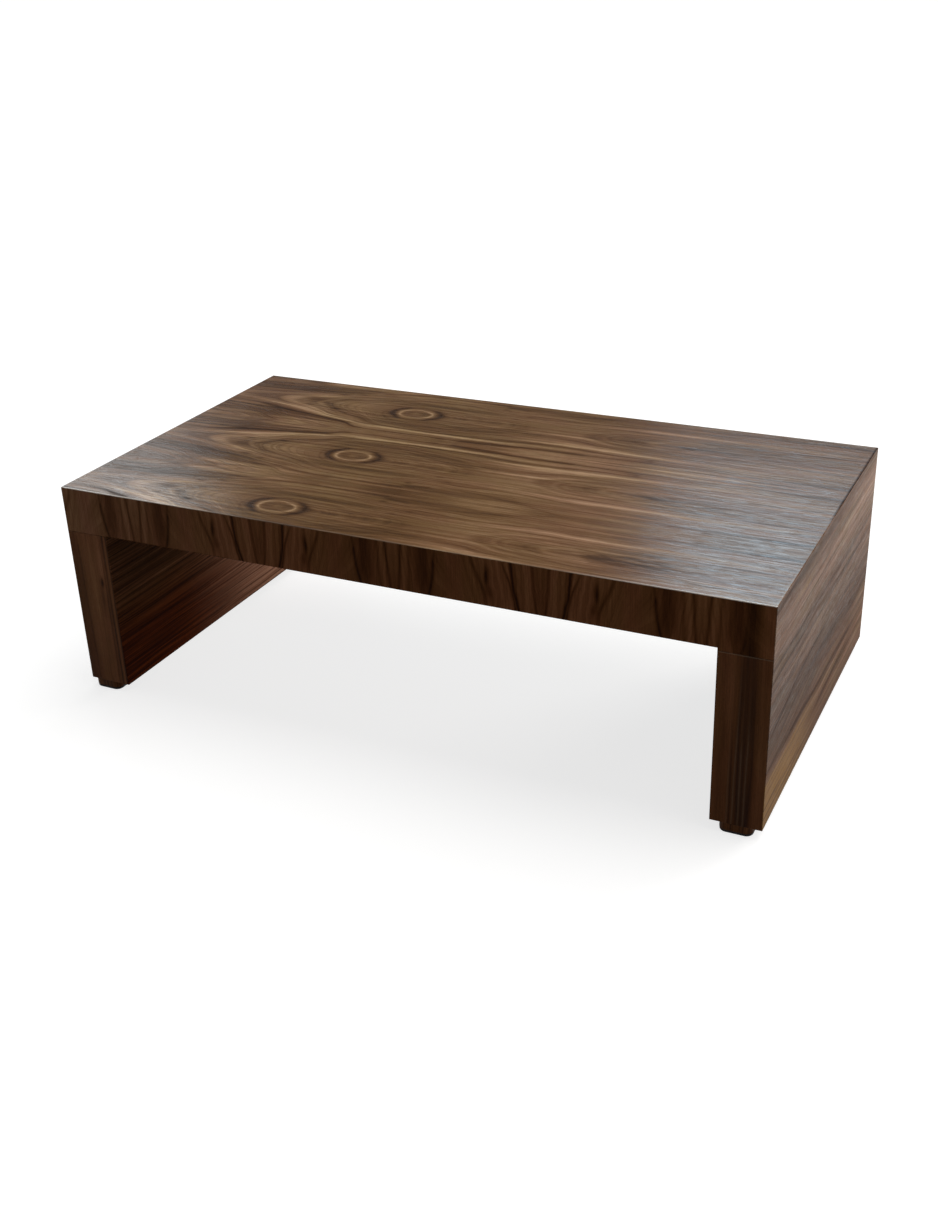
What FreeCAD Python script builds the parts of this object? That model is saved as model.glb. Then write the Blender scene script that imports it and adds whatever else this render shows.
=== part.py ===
# Waterfall coffee table: a thick top slab that folds down into two full-depth end slabs, all hollow,
# framed inside and veneered outside, on four small rounded foot blocks.
# Frame: X along the length, -Y is the front, +Z up, origin on the floor under the table's middle.
# Every length is in millimetres.

import FreeCAD
import Part
import math
import os

Vector = FreeCAD.Vector

# Driving dimensions
LENGTH = 1219.0
DEPTH = 660.0
HEIGHT = 381.0
TOP_THICKNESS = 78.0
LEG_THICKNESS = 80.0
FOOT_HEIGHT = 17.0

# Skins and frame
VENEER = 1.0
OUTER_SKIN = 18.0
INNER_SKIN = 12.0
RAIL_THICKNESS = 22.0
RIB_THICKNESS = 15.0
HOUSING_DEPTH = 6.0
MITRE_BLOCK_WIDTH = 24.0
RIB_STATIONS = (-536.5, -268.0, 0.0, 268.0, 536.5)
MID_RAIL_HEIGHT = 160.0

# Veneer layout: leaves are mirrored side by side, so every leaf has the same width
LEAF_WIDTH = 242.0
TOP_SEAM = 94.5
APRON_FIRST_SEAM = -462.0
END_SEAM_BELOW_TOP = 285.0
SEAM_DROP = {"left": 1.0, "right": 4.0}

# Sanded edges
ARRIS_RADIUS = 1.0
OPENING_CHAMFER = 0.7
GROOVE_DEPTH = 0.8

# Feet and their screws
FOOT_SIZE = 52.0
FOOT_CORNER_RADIUS = 12.0
FOOT_SETBACK = 0.5
FOOT_FROM_OUTER_FACE = {"left": 4.5, "right": 15.0}
FOOT_EDGE_RADIUS = 0.5
PAD_EDGE_RADIUS = 2.5
PAD_THICKNESS = 5.0
PAD_INSET = 0.4
SCREW_SPACING = 26.0
SCREW_RADIUS = 2.0
SCREW_LENGTH = 28.0
SCREW_HEAD_RADIUS = 4.0
SCREW_HEAD_HEIGHT = 2.6
SCREW_POINT = 4.0
DRIVE_SLOT_WIDTH = 1.0
DRIVE_SLOT_DEPTH = 1.2

# Loose tenons
MITRE_TENON = {"thickness": 5.0, "width": 19.0, "length": 24.0}
MITRE_TENON_FROM_INSIDE = 8.0
MITRE_TENON_STATIONS = (-275.0, -165.0, -55.0, 55.0, 165.0, 275.0)
LEG_TENON = {"thickness": 8.0, "width": 22.0, "length": 50.0}
LEG_TENON_STATIONS = (-240.0, -90.0, 90.0, 240.0)
TENON_CLEARANCE = 0.1
TENON_GLUE_SPACE = 1.0

# Levels and planes that follow from the driving dimensions
HALF_LENGTH = LENGTH / 2
HALF_DEPTH = DEPTH / 2
LEG_INNER = HALF_LENGTH - LEG_THICKNESS
UNDERSIDE = HEIGHT - TOP_THICKNESS
OUTER_BUILDUP = VENEER + OUTER_SKIN
CORE_FRONT = HALF_DEPTH - VENEER
RAIL_BACK = CORE_FRONT - RAIL_THICKNESS
TOP_CORE = HEIGHT - OUTER_BUILDUP
UNDERSIDE_BOARD = UNDERSIDE + VENEER
BOTTOM_CORE = UNDERSIDE_BOARD + INNER_SKIN
LEG_CORE_INNER = LEG_INNER + VENEER + INNER_SKIN
LEG_CORE_OUTER = HALF_LENGTH - OUTER_BUILDUP
PLATE_TOP = FOOT_HEIGHT + RAIL_THICKNESS
MITRE_BLOCK_INNER = LEG_CORE_OUTER - MITRE_BLOCK_WIDTH

SIDES = {"left": -1, "right": 1}
FACES = {"front": -1, "back": 1}
FOOT_Y = HALF_DEPTH - FOOT_SETBACK - FOOT_SIZE / 2
FOOT_X = {
    SIDES[side]: SIDES[side] * (HALF_LENGTH - gap - FOOT_SIZE / 2)
    for side, gap in FOOT_FROM_OUTER_FACE.items()
}
FOOT_CORNERS = [(side, face) for side in SIDES for face in FACES]


def outward(sign, near, far):
    """The range from near to far, both measured outwards from the middle plane, on the side of sign."""
    return (near, far) if sign > 0 else (-far, -near)


def board(x, y, z):
    """A plain board; x, y and z are (low, high) ranges."""
    size = [span[1] - span[0] for span in (x, y, z)]
    return Part.makeBox(*size, Vector(x[0], y[0], z[0]))


def prism_along_y(points, y):
    """A solid with a polygon of (x, z) points as its section, running along Y over the range y."""
    corners = [Vector(px, y[0], pz) for px, pz in points]
    face = Part.Face(Part.makePolygon(corners + corners[:1]))
    return face.extrude(Vector(0, y[1] - y[0], 0))


def outer_form():
    """The whole outline with its sanded edges: two legs and a top, without the feet."""
    body = board((-HALF_LENGTH, HALF_LENGTH), (-HALF_DEPTH, HALF_DEPTH), (FOOT_HEIGHT, HEIGHT))
    body = body.makeFillet(ARRIS_RADIUS, body.Edges)
    knee = board((-LEG_INNER, LEG_INNER), (-DEPTH, DEPTH), (0, UNDERSIDE))
    body = body.cut(knee)
    for sign in FACES.values():
        body = body.cut(opening_flare(sign))
    return body


def opening_flare(sign):
    """The small chamfer around the opening between the legs, on the front or the back face."""

    def outline(grow, depth):
        half = LEG_INNER + grow
        top = UNDERSIDE + grow
        y = sign * (HALF_DEPTH - depth)
        corners = [Vector(-half, y, 0), Vector(half, y, 0), Vector(half, y, top), Vector(-half, y, top)]
        return Part.makePolygon(corners + corners[:1])

    return Part.makeLoft([outline(OPENING_CHAMFER, 0), outline(0, OPENING_CHAMFER)], True)


def seam_groove(side, face):
    """The fine V where the apron's veneer meets a leg's veneer."""
    seam = UNDERSIDE - SEAM_DROP[side]
    surface = FACES[face] * HALF_DEPTH
    bottom = FACES[face] * (HALF_DEPTH - GROOVE_DEPTH)
    x = outward(SIDES[side], LEG_INNER - VENEER, HALF_LENGTH + VENEER)
    section = [
        Vector(x[0], surface, seam - GROOVE_DEPTH),
        Vector(x[0], surface, seam + GROOVE_DEPTH),
        Vector(x[0], bottom, seam),
    ]
    return Part.Face(Part.makePolygon(section + section[:1])).extrude(Vector(x[1] - x[0], 0, 0))


OUTER_FORM = outer_form()
GROOVES = {(side, face): seam_groove(side, face) for side in SIDES for face in FACES}


def sanded(shape):
    """The shape with the table's outer edges eased."""
    return shape.common(OUTER_FORM)


def top_layer(below, thickness, y):
    """A layer of the top, mitred at both ends, that starts so far below the top surface."""
    upper, lower = below, below + thickness
    points = [
        (-(HALF_LENGTH - upper), HEIGHT - upper),
        (HALF_LENGTH - upper, HEIGHT - upper),
        (HALF_LENGTH - lower, HEIGHT - lower),
        (-(HALF_LENGTH - lower), HEIGHT - lower),
    ]
    return prism_along_y(points, y)


def end_layer(sign, inside, thickness, y, z0):
    """A layer of an end slab, mitred at its top, that starts so far inside the end face."""
    outer, inner = inside, inside + thickness
    points = [
        (sign * (HALF_LENGTH - inner), z0),
        (sign * (HALF_LENGTH - outer), z0),
        (sign * (HALF_LENGTH - outer), HEIGHT - outer),
        (sign * (HALF_LENGTH - inner), HEIGHT - inner),
    ]
    return prism_along_y(points, y)


def loose_tenon(thickness, width, length, clearance=0.0):
    """A tenon with rounded edges, centred on the origin: length along Z, width along Y."""
    half_width = width / 2 + clearance
    radius = thickness / 2 + clearance
    straight = half_width - radius
    z = -length / 2
    left, right = Vector(-radius, 0, z), Vector(radius, 0, z)
    low, high = Vector(0, -straight, 0), Vector(0, straight, 0)
    edges = [
        Part.LineSegment(right + low, right + high),
        Part.Arc(right + high, Vector(0, half_width, z), left + high),
        Part.LineSegment(left + high, left + low),
        Part.Arc(left + low, Vector(0, -half_width, z), right + low),
    ]
    profile = Part.Wire([edge.toShape() for edge in edges])
    return Part.Face(profile).extrude(Vector(0, 0, length))


def mitre_tenon(sign, y, clearance=0.0, glue_space=0.0):
    """One tenon square across the mitre between the top and an end slab."""
    size = dict(MITRE_TENON, length=MITRE_TENON["length"] + 2 * glue_space)
    tenon = loose_tenon(clearance=clearance, **size)
    tenon.rotate(Vector(0, 0, 0), Vector(0, 1, 0), -45 * sign)
    along = MITRE_TENON_FROM_INSIDE / math.sqrt(2)
    tenon.translate(Vector(sign * (LEG_CORE_OUTER + along), y, TOP_CORE + along))
    return tenon


def leg_tenon(sign, y, clearance=0.0, glue_space=0.0):
    """One upright tenon from an end slab's top rail, through the underside board, into the mitre block."""
    size = dict(LEG_TENON, length=LEG_TENON["length"] + 2 * glue_space)
    tenon = loose_tenon(clearance=clearance, **size)
    middle_x = (MITRE_BLOCK_INNER + LEG_CORE_OUTER) / 2
    middle_z = (UNDERSIDE_BOARD + BOTTOM_CORE) / 2
    tenon.translate(Vector(sign * middle_x, y, middle_z))
    return tenon


def with_mortises(shape, tenon, sides, stations):
    """The shape with a mortise for each of those tenons."""
    holes = [
        tenon(sign, y, TENON_CLEARANCE, TENON_GLUE_SPACE)
        for sign in sides
        for y in stations
    ]
    return shape.cut(Part.makeCompound(holes))


def top_frame():
    """The boards and the frame of the top slab."""
    whole_depth = (-CORE_FRONT, CORE_FRONT)
    whole_length = (-LEG_CORE_OUTER, LEG_CORE_OUTER)
    core = (BOTTOM_CORE, TOP_CORE)
    top = top_layer(VENEER, OUTER_SKIN, whole_depth)
    underside = board(whole_length, whole_depth, (UNDERSIDE_BOARD, BOTTOM_CORE))
    nodes = {
        "top_panel": with_mortises(top, mitre_tenon, SIDES.values(), MITRE_TENON_STATIONS),
        "underside_panel": with_mortises(underside, leg_tenon, SIDES.values(), LEG_TENON_STATIONS),
    }
    ribs = [
        board(
            (x - RIB_THICKNESS / 2, x + RIB_THICKNESS / 2),
            (-RAIL_BACK - HOUSING_DEPTH, RAIL_BACK + HOUSING_DEPTH),
            core,
        )
        for x in RIB_STATIONS
    ]
    for number, rib in enumerate(ribs, 1):
        nodes[f"cross_rib_{number}"] = rib
    for face, sign in FACES.items():
        rail = board(whole_length, outward(sign, RAIL_BACK, CORE_FRONT), core)
        nodes[f"{face}_rail"] = rail.cut(Part.makeCompound(ribs))
    for side, sign in SIDES.items():
        block = board(
            outward(sign, MITRE_BLOCK_INNER, LEG_CORE_OUTER),
            (-RAIL_BACK, RAIL_BACK),
            core,
        )
        nodes[f"{side}_mitre_block"] = with_mortises(block, leg_tenon, [sign], LEG_TENON_STATIONS)
    return nodes


def end_frame(side):
    """The boards and the frame of one end slab."""
    sign = SIDES[side]
    whole_depth = (-CORE_FRONT, CORE_FRONT)
    core = outward(sign, LEG_CORE_INNER, LEG_CORE_OUTER)
    housed = (-RAIL_BACK - HOUSING_DEPTH, RAIL_BACK + HOUSING_DEPTH)
    outer = end_layer(sign, VENEER, OUTER_SKIN, whole_depth, FOOT_HEIGHT)
    inner = board(
        outward(sign, LEG_INNER + VENEER, LEG_CORE_INNER),
        whole_depth,
        (FOOT_HEIGHT, UNDERSIDE_BOARD),
    )
    top_rail = board(core, housed, (UNDERSIDE_BOARD - RAIL_THICKNESS, UNDERSIDE_BOARD))
    mid_rail = board(core, housed, (MID_RAIL_HEIGHT, MID_RAIL_HEIGHT + RIB_THICKNESS))
    plate = board(core, whole_depth, (FOOT_HEIGHT, PLATE_TOP))
    nodes = {
        f"{side}_outer_panel": with_mortises(outer, mitre_tenon, [sign], MITRE_TENON_STATIONS),
        f"{side}_inner_panel": inner,
        f"{side}_top_rail": with_mortises(top_rail, leg_tenon, [sign], LEG_TENON_STATIONS),
        f"{side}_mid_rail": mid_rail,
        f"{side}_bottom_plate": plate.cut(foot_screws(sign)),
    }
    for face, face_sign in FACES.items():
        stile = board(core, outward(face_sign, RAIL_BACK, CORE_FRONT), (PLATE_TOP, UNDERSIDE_BOARD))
        nodes[f"{side}_{face}_stile"] = stile.cut(top_rail).cut(mid_rail)
    return nodes


def top_veneers():
    """The three mirrored leaves on the top, and the single sheet under it."""
    seams = [HALF_DEPTH, TOP_SEAM, TOP_SEAM - LEAF_WIDTH, -HALF_DEPTH]
    names = ("back", "middle", "front")
    nodes = {}
    for name, high, low in zip(names, seams, seams[1:]):
        nodes[f"top_veneer_{name}"] = sanded(top_layer(0, VENEER, (low, high)))
    sheet = board((-LEG_INNER, LEG_INNER), (-HALF_DEPTH, HALF_DEPTH), (UNDERSIDE, UNDERSIDE_BOARD))
    nodes["underside_veneer"] = sanded(sheet)
    return nodes


def apron_veneers(face):
    """The row of upright-grained leaves along the front or back edge of the top."""
    y = outward(FACES[face], CORE_FRONT, HALF_DEPTH)
    end = HALF_LENGTH - VENEER
    strip = board((-end, end), y, (UNDERSIDE_BOARD, HEIGHT - VENEER))
    for side, sign in SIDES.items():
        lap = outward(sign, LEG_INNER + VENEER, end)
        strip = strip.fuse(board(lap, y, (UNDERSIDE - SEAM_DROP[side], UNDERSIDE_BOARD)))
    strip = strip.removeSplitter()
    for side in SIDES:
        strip = strip.cut(GROOVES[side, face])
    seams = [-end]
    seam = APRON_FIRST_SEAM
    while seam < end:
        seams.append(seam)
        seam += LEAF_WIDTH
    seams.append(end)
    nodes = {}
    for number, (low, high) in enumerate(zip(seams, seams[1:]), 1):
        leaf = strip.common(board((low, high), y, (0, HEIGHT)))
        nodes[f"{face}_apron_leaf_{number}"] = sanded(leaf)
    return nodes


def end_veneers(side):
    """The veneers of one end slab: two leaves outside, one inside and one on each edge."""
    sign = SIDES[side]
    whole_depth = (-HALF_DEPTH, HALF_DEPTH)
    seam = HEIGHT - END_SEAM_BELOW_TOP
    outside = end_layer(sign, 0, VENEER, whole_depth, FOOT_HEIGHT)
    skin = outward(sign, HALF_LENGTH - VENEER, HALF_LENGTH)
    inside = board(
        outward(sign, LEG_INNER, LEG_INNER + VENEER),
        whole_depth,
        (FOOT_HEIGHT, UNDERSIDE_BOARD),
    )
    nodes = {
        f"{side}_outer_veneer_upper": sanded(outside.common(board(skin, whole_depth, (seam, HEIGHT)))),
        f"{side}_outer_veneer_lower": sanded(outside.common(board(skin, whole_depth, (0, seam)))),
        f"{side}_inner_veneer": sanded(inside),
    }
    for face, face_sign in FACES.items():
        edge = board(
            outward(sign, LEG_INNER + VENEER, HALF_LENGTH - VENEER),
            outward(face_sign, CORE_FRONT, HALF_DEPTH),
            (FOOT_HEIGHT, UNDERSIDE - SEAM_DROP[side]),
        )
        nodes[f"{side}_{face}_edge_veneer"] = sanded(edge.cut(GROOVES[side, face]))
    return nodes


def rounded_block(size, corner_radius, z, edge_radius):
    """A square block centred on X and Y, with rounded corners and a softened lower edge."""
    half = size / 2
    block = board((-half, half), (-half, half), z)
    upright = [e for e in block.Edges if e.BoundBox.ZLength > e.BoundBox.XLength + e.BoundBox.YLength]
    block = block.makeFillet(corner_radius, upright)
    lower = [e for e in block.Edges if e.BoundBox.ZMax < z[0] + edge_radius]
    return block.makeFillet(edge_radius, lower)


def screw():
    """A countersunk wood screw with its head down at the origin, pointing up."""
    shank_end = SCREW_LENGTH - SCREW_POINT
    points = [
        Vector(0, 0, 0),
        Vector(SCREW_HEAD_RADIUS, 0, 0),
        Vector(SCREW_RADIUS, 0, SCREW_HEAD_HEIGHT),
        Vector(SCREW_RADIUS, 0, shank_end),
        Vector(0, 0, SCREW_LENGTH),
    ]
    section = Part.Face(Part.makePolygon(points + points[:1]))
    return section.revolve(Vector(0, 0, 0), Vector(0, 0, 1), 360)


def screw_centres(sign, face_sign):
    """Where the two screws of one foot stand."""
    return [
        Vector(FOOT_X[sign], face_sign * FOOT_Y + offset, PAD_THICKNESS)
        for offset in (-SCREW_SPACING / 2, SCREW_SPACING / 2)
    ]


def foot_screws(sign):
    """The screws of the two feet on one side, as plain solids."""
    solids = []
    for face_sign in FACES.values():
        for centre in screw_centres(sign, face_sign):
            solids.append(screw().translated(centre))
    return Part.makeCompound(solids)


def slotted(shape, centre):
    """The screw with a cross cut into its head for the driver."""
    half_width = DRIVE_SLOT_WIDTH / 2
    reach = SCREW_HEAD_RADIUS * 0.6
    cross = board((-reach, reach), (-half_width, half_width), (-1, DRIVE_SLOT_DEPTH))
    cross = cross.fuse(board((-half_width, half_width), (-reach, reach), (-1, DRIVE_SLOT_DEPTH)))
    return shape.cut(cross.translated(centre))


def feet():
    """The four foot blocks, their pads and their screws."""
    nodes = {}
    pads = []
    screws = []
    for side, face in FOOT_CORNERS:
        sign, face_sign = SIDES[side], FACES[face]
        place = Vector(FOOT_X[sign], face_sign * FOOT_Y, 0)
        block = rounded_block(FOOT_SIZE, FOOT_CORNER_RADIUS, (PAD_THICKNESS, FOOT_HEIGHT), FOOT_EDGE_RADIUS)
        nodes[f"foot_{side}_{face}"] = block.translated(place).cut(foot_screws(sign))
        pad = rounded_block(
            FOOT_SIZE - 2 * PAD_INSET,
            FOOT_CORNER_RADIUS - PAD_INSET,
            (0, PAD_THICKNESS),
            PAD_EDGE_RADIUS,
        )
        pads.append(pad.translated(place))
        for centre in screw_centres(sign, face_sign):
            screws.append(slotted(screw().translated(centre), centre))
    nodes["foot_pads"] = Part.makeCompound(pads)
    nodes["foot_screws"] = Part.makeCompound(screws)
    return nodes


def tenons():
    """The loose tenons of the two mitres and of the two leg joints."""
    across_mitre = [mitre_tenon(sign, y) for sign in SIDES.values() for y in MITRE_TENON_STATIONS]
    upright = [leg_tenon(sign, y) for sign in SIDES.values() for y in LEG_TENON_STATIONS]
    return {
        "mitre_tenons": Part.makeCompound(across_mitre),
        "leg_tenons": Part.makeCompound(upright),
    }


def build():
    """Every sub-part of the table, by its node's name."""
    nodes = top_frame()
    nodes.update(top_veneers())
    for side in SIDES:
        nodes.update(end_frame(side))
        nodes.update(end_veneers(side))
    for face in FACES:
        nodes.update(apron_veneers(face))
    nodes.update(feet())
    nodes.update(tenons())
    return nodes


os.makedirs("parts", exist_ok=True)
table = build()
for name, shape in table.items():
    shape.exportStep(f"parts/{name}.step")
    print(f"{name}: {len(shape.Solids)} solid(s), {shape.Volume / 1000:.1f} cm3, valid {shape.isValid()}")
print(len(table), "nodes")
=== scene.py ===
"""The waterfall coffee table, dressed in walnut veneer, on a pale studio floor."""

import math

import bpy
from mathutils import Matrix, Vector


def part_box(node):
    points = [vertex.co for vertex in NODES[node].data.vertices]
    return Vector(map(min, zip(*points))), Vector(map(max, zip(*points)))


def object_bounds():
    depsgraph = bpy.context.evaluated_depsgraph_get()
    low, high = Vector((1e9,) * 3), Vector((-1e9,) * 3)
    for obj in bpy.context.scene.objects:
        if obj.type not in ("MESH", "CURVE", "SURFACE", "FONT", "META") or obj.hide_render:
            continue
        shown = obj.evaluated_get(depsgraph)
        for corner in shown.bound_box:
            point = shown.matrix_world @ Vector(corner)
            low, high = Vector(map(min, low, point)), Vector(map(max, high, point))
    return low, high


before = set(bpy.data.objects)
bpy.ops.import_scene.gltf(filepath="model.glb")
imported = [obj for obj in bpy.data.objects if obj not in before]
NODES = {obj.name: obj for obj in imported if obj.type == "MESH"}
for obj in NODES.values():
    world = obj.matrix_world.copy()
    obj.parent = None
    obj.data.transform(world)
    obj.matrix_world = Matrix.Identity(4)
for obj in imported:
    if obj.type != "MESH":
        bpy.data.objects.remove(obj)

CAD_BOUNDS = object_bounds()

# The table, in millimetres, as its own pieces give it
MM = 1000.0
HALF_LENGTH, HALF_DEPTH, HEIGHT = (side * MM for side in CAD_BOUNDS[1])
LENGTH = HALF_LENGTH * 2
TOP_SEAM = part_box("top_veneer_middle")[1][1] * MM
LEAF_WIDTH = TOP_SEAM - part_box("top_veneer_middle")[0][1] * MM
APRON_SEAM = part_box("front_apron_leaf_2")[0][0] * MM

# The knot of a top leaf: along the table from its left end, and across the leaf from its first seam
KNOT = (389, 119)


def srgb(red, green, blue):
    """A colour given by its screen values from 0 to 255, as Blender's linear colour."""

    def linear(value):
        value /= 255
        return value / 12.92 if value <= 0.04045 else ((value + 0.055) / 1.055) ** 2.4

    return (linear(red), linear(green), linear(blue), 1.0)


class Field:
    """A number that varies over a surface, with arithmetic: the output of a shader node."""

    def __init__(self, graph, socket):
        self.graph = graph
        self.socket = socket

    def _math(self, operation, *operands):
        return self.graph.math(operation, self, *operands)

    def __add__(self, other):
        return self._math("ADD", other)

    def __radd__(self, other):
        return self._math("ADD", other)

    def __sub__(self, other):
        return self._math("SUBTRACT", other)

    def __rsub__(self, other):
        return self.graph.math("SUBTRACT", other, self)

    def __mul__(self, other):
        return self._math("MULTIPLY", other)

    def __rmul__(self, other):
        return self._math("MULTIPLY", other)

    def __truediv__(self, other):
        return self._math("DIVIDE", other)

    def __abs__(self):
        return self._math("ABSOLUTE")

    def __pow__(self, power):
        return self._math("POWER", power)

    def floor(self):
        return self._math("FLOOR")

    def root(self):
        return self._math("SQRT")

    def fold(self, width):
        """Mirrored repeats: rises from 0 to width, falls back to 0, and so on."""
        return self._math("PINGPONG", width)

    def most(self, other):
        return self._math("MAXIMUM", other)

    def bell(self, centre, width):
        """1 at the centre, falling off smoothly either side."""
        offset = (self - centre) / width
        return (offset * offset * -1.0)._math("EXPONENT")

    def step(self, low, high, result=(0.0, 1.0)):
        """Smoothly from the first result at low to the second at high."""
        node = self.graph.node("ShaderNodeMapRange", interpolation_type="SMOOTHSTEP")
        self.graph.plug(self, node.inputs["Value"])
        node.inputs["From Min"].default_value = low
        node.inputs["From Max"].default_value = high
        node.inputs["To Min"].default_value = result[0]
        node.inputs["To Max"].default_value = result[1]
        return Field(self.graph, node.outputs["Result"])

    def curve(self, points):
        """A smooth curve through (position, value) points."""
        start, end = points[0][0], points[-1][0]
        low = min(value for _, value in points)
        span = (max(value for _, value in points) - low) or 1.0
        node = self.graph.node("ShaderNodeFloatCurve")
        line = node.mapping.curves[0]
        while len(line.points) < len(points):
            line.points.new(0.5, 0.5)
        for place, (position, value) in zip(line.points, points):
            place.location = ((position - start) / (end - start), (value - low) / span)
            place.handle_type = "AUTO_CLAMPED"
        node.mapping.update()
        self.graph.plug((self - start) / (end - start), node.inputs["Value"])
        return Field(self.graph, node.outputs["Value"]) * span + low


class Graph:
    """The nodes of one material, of a lamp or of the world, built from fields."""

    def __init__(self, owner, coordinates="Object", scale=MM):
        self.owner = owner
        owner.use_nodes = True
        self.tree = owner.node_tree
        self.tree.nodes.clear()
        place = self.node("ShaderNodeSeparateXYZ")
        self.tree.links.new(self.node("ShaderNodeTexCoord").outputs[coordinates], place.inputs[0])
        self.x, self.y, self.z = (Field(self, place.outputs[axis]) * scale for axis in "XYZ")

    def node(self, kind, **settings):
        node = self.tree.nodes.new(kind)
        for setting, value in settings.items():
            setattr(node, setting, value)
        return node

    def plug(self, value, socket):
        """Links a field to a socket, or sets the socket to a plain value."""
        if isinstance(value, Field):
            self.tree.links.new(value.socket, socket)
        else:
            socket.default_value = value

    def rays(self):
        """1 or 0 by the kind of ray that looks: the camera's own, and one through gloss or glass."""
        path = self.node("ShaderNodeLightPath")
        camera_ray, glossy_ray, clear_ray = (
            Field(self, path.outputs[f"Is {kind} Ray"]) for kind in ("Camera", "Glossy", "Transmission")
        )
        return camera_ray, glossy_ray.most(clear_ray)

    def math(self, operation, *operands):
        node = self.node("ShaderNodeMath", operation=operation)
        for operand, socket in zip(operands, node.inputs):
            self.plug(operand, socket)
        return Field(self, node.outputs[0])

    def noise(self, place, detail=2.0, roughness=0.5):
        """Smooth noise from 0 to 1 at a place given by one, two or three fields."""
        node = self.node("ShaderNodeTexNoise", noise_dimensions=f"{max(2, len(place))}D")
        point = self.node("ShaderNodeCombineXYZ")
        for value, socket in zip(place, point.inputs):
            self.plug(value, socket)
        self.tree.links.new(point.outputs[0], node.inputs["Vector"])
        node.inputs["Scale"].default_value = 1.0
        node.inputs["Detail"].default_value = detail
        node.inputs["Roughness"].default_value = roughness
        return Field(self, node.outputs["Fac"])

    def ramp(self, value, stops):
        """A colour ramp through (position, colour) stops."""
        node = self.node("ShaderNodeValToRGB")
        while len(node.color_ramp.elements) < len(stops):
            node.color_ramp.elements.new(0.5)
        for element, (position, colour) in zip(node.color_ramp.elements, stops):
            element.position = position
            element.color = colour
        self.plug(value, node.inputs["Fac"])
        return Field(self, node.outputs["Color"])

    def mix(self, amount, first, second, blend="MIX"):
        """The first colour turning into the second, or blended with it, as amount goes from 0 to 1.

        The node's colour sockets share their names with others, so they are taken by number.
        """
        node = self.node("ShaderNodeMix", data_type="RGBA", blend_type=blend, clamp_factor=True)
        self.plug(amount, node.inputs[0])
        self.plug(first, node.inputs[6])
        self.plug(second, node.inputs[7])
        return Field(self, node.outputs[2])

    def surface(self, colour, roughness, height=None, depth=0.0, **sockets):
        """The finished surface. height is a field of about 0 to 1, and depth its size in millimetres."""
        shader = self.node("ShaderNodeBsdfPrincipled")
        self.plug(colour, shader.inputs["Base Color"])
        self.plug(roughness, shader.inputs["Roughness"])
        for name, value in sockets.items():
            self.plug(value, shader.inputs[name.replace("_", " ")])
        if height is not None:
            bump = self.node("ShaderNodeBump")
            bump.inputs["Distance"].default_value = depth / MM
            self.plug(height, bump.inputs["Height"])
            for side in ("Normal", "Coat Normal"):
                self.tree.links.new(bump.outputs["Normal"], shader.inputs[side])
        output = self.node("ShaderNodeOutputMaterial")
        self.tree.links.new(shader.outputs[0], output.inputs["Surface"])
        return self.owner


def material_graph(name):
    return Graph(bpy.data.materials.new(name))


# Walnut, from its darkest streaks to its lightest figure
WALNUT = [
    (0.00, srgb(38, 20, 6)),
    (0.20, srgb(60, 38, 18)),
    (0.42, srgb(86, 60, 36)),
    (0.62, srgb(112, 84, 58)),
    (0.82, srgb(140, 112, 86)),
    (1.00, srgb(172, 146, 120)),
]
SAPWOOD = srgb(146, 109, 64)
# Worn edges, also used as a painted highlight along the arrises
WORN_AND_HIGHLIT_EDGE = srgb(205, 195, 186)
PALE_LINE = srgb(150, 128, 106)
# Painted daylight, for the back of the left slab's inner face
PAINTED_DAYLIGHT_ROSE = srgb(182, 134, 108)
PORE = srgb(36, 24, 17)

# Tints that multiply the walnut: in patches, in smoky streaks, and as the stain of a whole face; the deep
# red and the oxblood are painted shade on the left slab's inner face
OLIVE = (0.93, 1.0, 0.80, 1.0)
ROSE = (1.0, 0.91, 0.90, 1.0)
SMOKE = (0.76, 0.79, 0.84, 1.0)
GOLD_BROWN = (1.03, 0.96, 0.82, 1.0)
ROSE_BROWN = (1.08, 0.94, 0.90, 1.0)
RED_BROWN = (1.13, 0.81, 0.68, 1.0)
DEEP_RED_SHADE = (1.15, 0.68, 0.50, 1.0)
PLUM_BROWN = (1.08, 0.84, 0.82, 1.0)
OXBLOOD_SHADE = (1.10, 0.45, 0.25, 1.0)
DUSTY_ROSE = (1.05, 0.94, 0.95, 1.0)
TINT_STRENGTH = 0.55

LACQUER_ROUGHNESS = 0.17

# Painted shade: the back is in the lamps' light, so its upright veneers are painted a little darker and
# greyer than the front's to offset it
BACK_SHADE = 0.1


def streak(along, across, path, half_width, strength=1.0):
    """A line of figure that follows a path of (along, across) points."""
    width = along.curve(half_width) if isinstance(half_width, list) else half_width
    force = along.curve(strength) if isinstance(strength, list) else strength
    offset = across - along.curve(path)
    return (offset.bell(0.0, width) * 0.75 + offset.bell(0.0, width * 2.2) * 0.25) * force


def spot(along, across, centre, radii, strength=1.0):
    """A soft oval spot."""
    return along.bell(centre[0], radii[0]) * across.bell(centre[1], radii[1]) * strength


def total(masks):
    """Several masks as one."""
    return sum(masks, 0.0)


class Wood:
    """What sets one face's veneer apart from another's.

    tone is its place on the walnut ramp, contrast and strands how far the figure and the strands move it,
    relief the height of the grain in millimetres, rose how rosy it is in patches, and stain a colour that
    multiplies it. lacquer is the weight of the clear coat, and pale the colour of the pale lines, which on
    the left slab's inner face is a painted daylight.
    """

    def __init__(self, tone, contrast=0.8, strands=0.4, gloss=0.06, roughness=0.5, relief=0.15, rose=0.5,
                 stain=RED_BROWN, lacquer=0.0, pale=PALE_LINE):
        self.tone = tone
        self.contrast = contrast
        self.strands = strands
        self.gloss = gloss
        self.roughness = roughness
        self.relief = relief
        self.rose = rose
        self.stain = stain
        self.lacquer = lacquer
        self.pale = pale


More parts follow.
